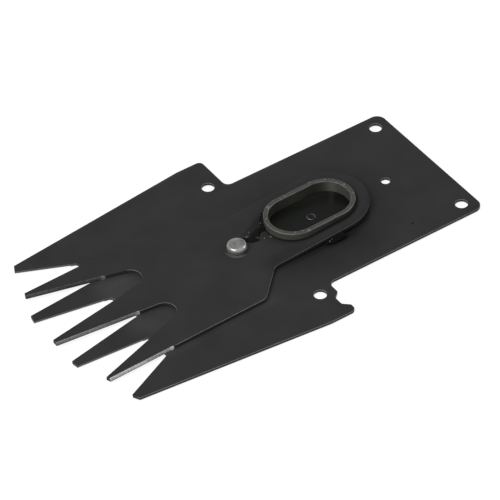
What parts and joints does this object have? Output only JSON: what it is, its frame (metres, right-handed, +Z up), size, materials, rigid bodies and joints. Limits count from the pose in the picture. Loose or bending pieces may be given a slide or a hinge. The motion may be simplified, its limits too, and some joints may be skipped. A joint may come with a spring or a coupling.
{
  "type": "grass shears blade set",
  "caption": "Toothed fixed blade for grass shears with a toothed moving blade riveted over it and an oval drive collar on its tail.",
  "frame": {"origin": "centre of the drive axle's hole, level with the underside of the fixed blade", "axes": "+Z up through the plates towards the drive collar, +Y towards the rear edge, teeth towards -Y, +X to the right seen from above with the teeth pointing down the page"},
  "size_m": [0.0952, 0.1566, 0.0062],
  "materials": {
    "blade_coating": "semi-gloss black coating",
    "collar_metal": "satin olive grey",
    "rivet_steel": "bright, lightly struck"
  },
  "bodies": {
    "fixed": {"fixed_blade": "blade_coating", "pivot_rivet": "rivet_steel"},
    "moving": {"moving_blade": "blade_coating", "drive_collar": "collar_metal"}
  },
  "joints": [
    {"name": "blade_swing", "type": "hinge", "parent": "fixed", "child": "moving", "pos_m": [0, -0.0308, 0.0018], "axis": [0, 0, 1], "range_deg": [-14.2, 11.6]}
  ]
}
